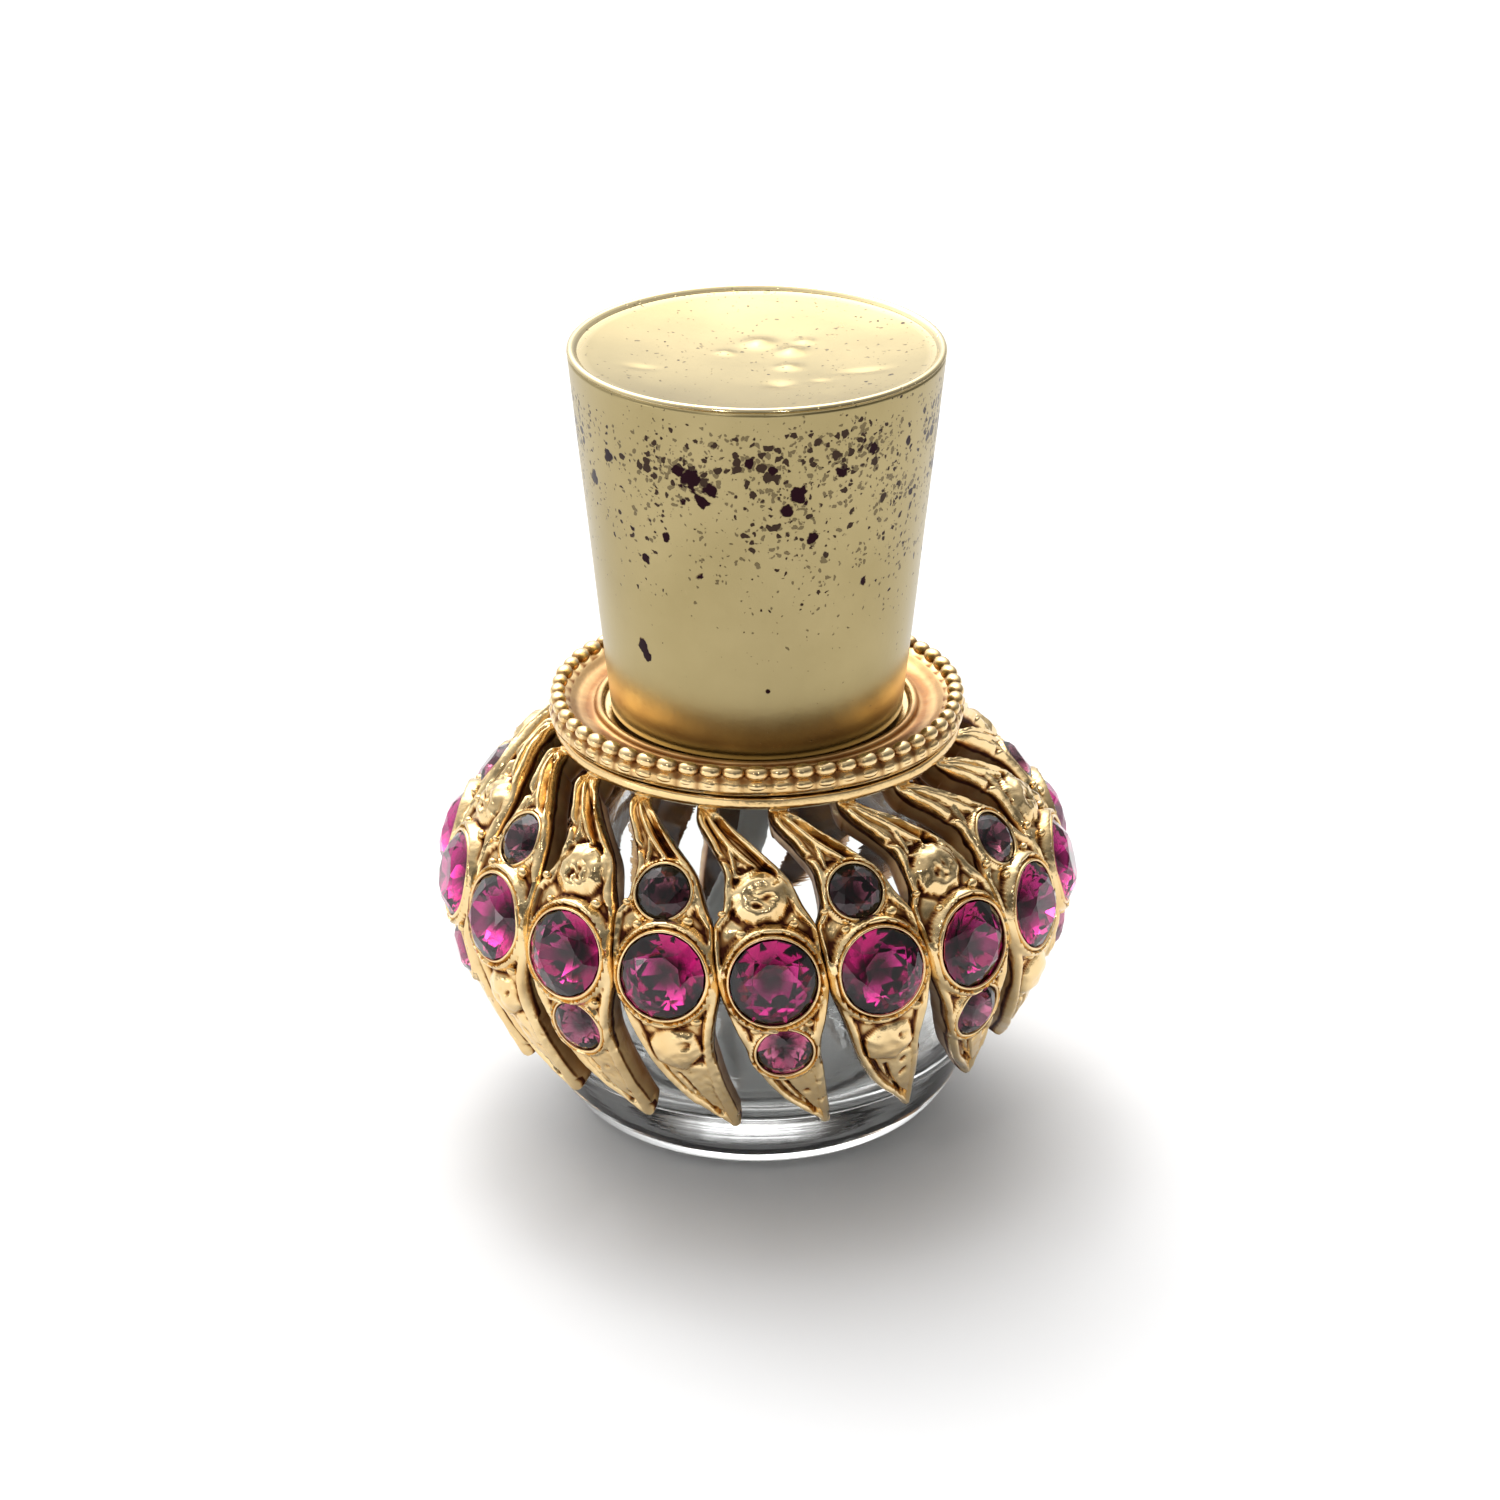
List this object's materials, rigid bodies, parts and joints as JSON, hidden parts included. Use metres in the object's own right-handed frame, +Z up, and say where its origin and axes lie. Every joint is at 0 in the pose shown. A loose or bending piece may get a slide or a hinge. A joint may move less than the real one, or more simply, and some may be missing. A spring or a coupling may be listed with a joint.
{
  "type": "perfume atomiser",
  "caption": "Squat glass perfume bottle in a cast gold cage of swirled, stone-set leaves, with a beaded collar, a screw-on mist pump and a tapered pull-off cap.",
  "frame": {"origin": "centre of the bottle's foot, on the surface it stands on", "axes": "+Z up the bottle's axis, front towards -Y, +X to the right seen from the front"},
  "size_m": [0.0554, 0.0556, 0.0697],
  "materials": {
    "clear_glass": "clear polished glass",
    "antique_gold_casting": "cast, gold plated and polished, dark in the crevices",
    "collar_gold": "gold plated and polished, beaded rim",
    "satin_pale_gold": "satin pale gold lacquer, pitted with age",
    "ferrule_gold": "gold anodised, satin",
    "button_gold": "gold metallised",
    "gasket_rubber": "matte off-white",
    "pump_plastic": "natural translucent",
    "gland_plastic": "white",
    "dip_tube_plastic": "natural translucent",
    "piston_plastic": "natural soft plastic",
    "stem_plastic": "white",
    "nozzle_plastic": "white",
    "liner_plastic": "moulded cream",
    "spring_steel": "drawn stainless wire",
    "ball_steel": "polished stainless",
    "fuchsia_stone": "foiled, faceted",
    "plum_stone": "foiled, faceted",
    "rose_stone": "foiled, faceted"
  },
  "bodies": {
    "bottle": {"glass_bottle": "clear_glass", "leaf_cage": "antique_gold_casting", "collar_ring": "collar_gold", "large_stone_01": "fuchsia_stone", "large_stone_02": "fuchsia_stone", "large_stone_03": "fuchsia_stone", "large_stone_04": "fuchsia_stone", "large_stone_05": "fuchsia_stone", "large_stone_06": "fuchsia_stone", "large_stone_07": "fuchsia_stone", "large_stone_08": "fuchsia_stone", "large_stone_09": "fuchsia_stone", "large_stone_10": "fuchsia_stone", "large_stone_11": "fuchsia_stone", "large_stone_12": "fuchsia_stone", "large_stone_13": "fuchsia_stone", "large_stone_14": "fuchsia_stone", "large_stone_15": "fuchsia_stone", "large_stone_16": "fuchsia_stone", "large_stone_17": "fuchsia_stone", "large_stone_18": "fuchsia_stone", "upper_stone_01": "plum_stone", "upper_stone_02": "plum_stone", "upper_stone_03": "plum_stone", "upper_stone_04": "plum_stone", "upper_stone_05": "plum_stone", "upper_stone_06": "plum_stone", "upper_stone_07": "plum_stone", "upper_stone_08": "plum_stone", "upper_stone_09": "plum_stone", "lower_stone_01": "rose_stone", "lower_stone_02": "rose_stone", "lower_stone_03": "rose_stone", "lower_stone_04": "rose_stone", "lower_stone_05": "rose_stone", "lower_stone_06": "rose_stone", "lower_stone_07": "rose_stone", "lower_stone_08": "rose_stone", "lower_stone_09": "rose_stone"},
    "pump_unit": {"pump_housing": "pump_plastic", "neck_gasket": "gasket_rubber", "stem_gland": "gland_plastic", "dip_tube": "dip_tube_plastic", "pump_spring": "spring_steel"},
    "ferrule": {"screw_ferrule": "ferrule_gold"},
    "inlet_valve": {"inlet_ball": "ball_steel"},
    "stem": {"pump_stem": "stem_plastic", "piston": "piston_plastic"},
    "button": {"actuator_button": "button_gold", "nozzle_insert": "nozzle_plastic"},
    "cap": {"cap_shell": "satin_pale_gold", "cap_liner": "liner_plastic"}
  },
  "joints": [
    {"name": "pump_rise", "type": "slide", "parent": "bottle", "child": "pump_unit", "axis": [0, 0, 1], "range_m": [0, 0.0045]},
    {"name": "ferrule_turn", "type": "hinge", "parent": "pump_unit", "child": "ferrule", "pos_m": [0, 0, 0.0375], "axis": [0, 0, 1], "range_deg": [0, 541]},
    {"name": "cap_lift", "type": "slide", "parent": "ferrule", "child": "cap", "axis": [0, 0, 1], "range_m": [0, 0.03]},
    {"name": "stem_press", "type": "slide", "parent": "pump_unit", "child": "stem", "axis": [0, 0, -1], "range_m": [0, 0.003], "stiffness_N_per_m": 300, "springref_m": -0.004, "deforming": ["pump_spring"]},
    {"name": "button_turn", "type": "hinge", "parent": "stem", "child": "button", "pos_m": [0, 0, 0.0545], "axis": [0, 0, 1], "continuous": true},
    {"name": "ball_lift", "type": "slide", "parent": "pump_unit", "child": "inlet_valve", "axis": [0, 0, 1], "range_m": [0, 0.0004]}
  ],
  "couplings": [
    {"joint": "ferrule_turn", "follows": "pump_rise", "rad_per_m": 2094.4}
  ]
}
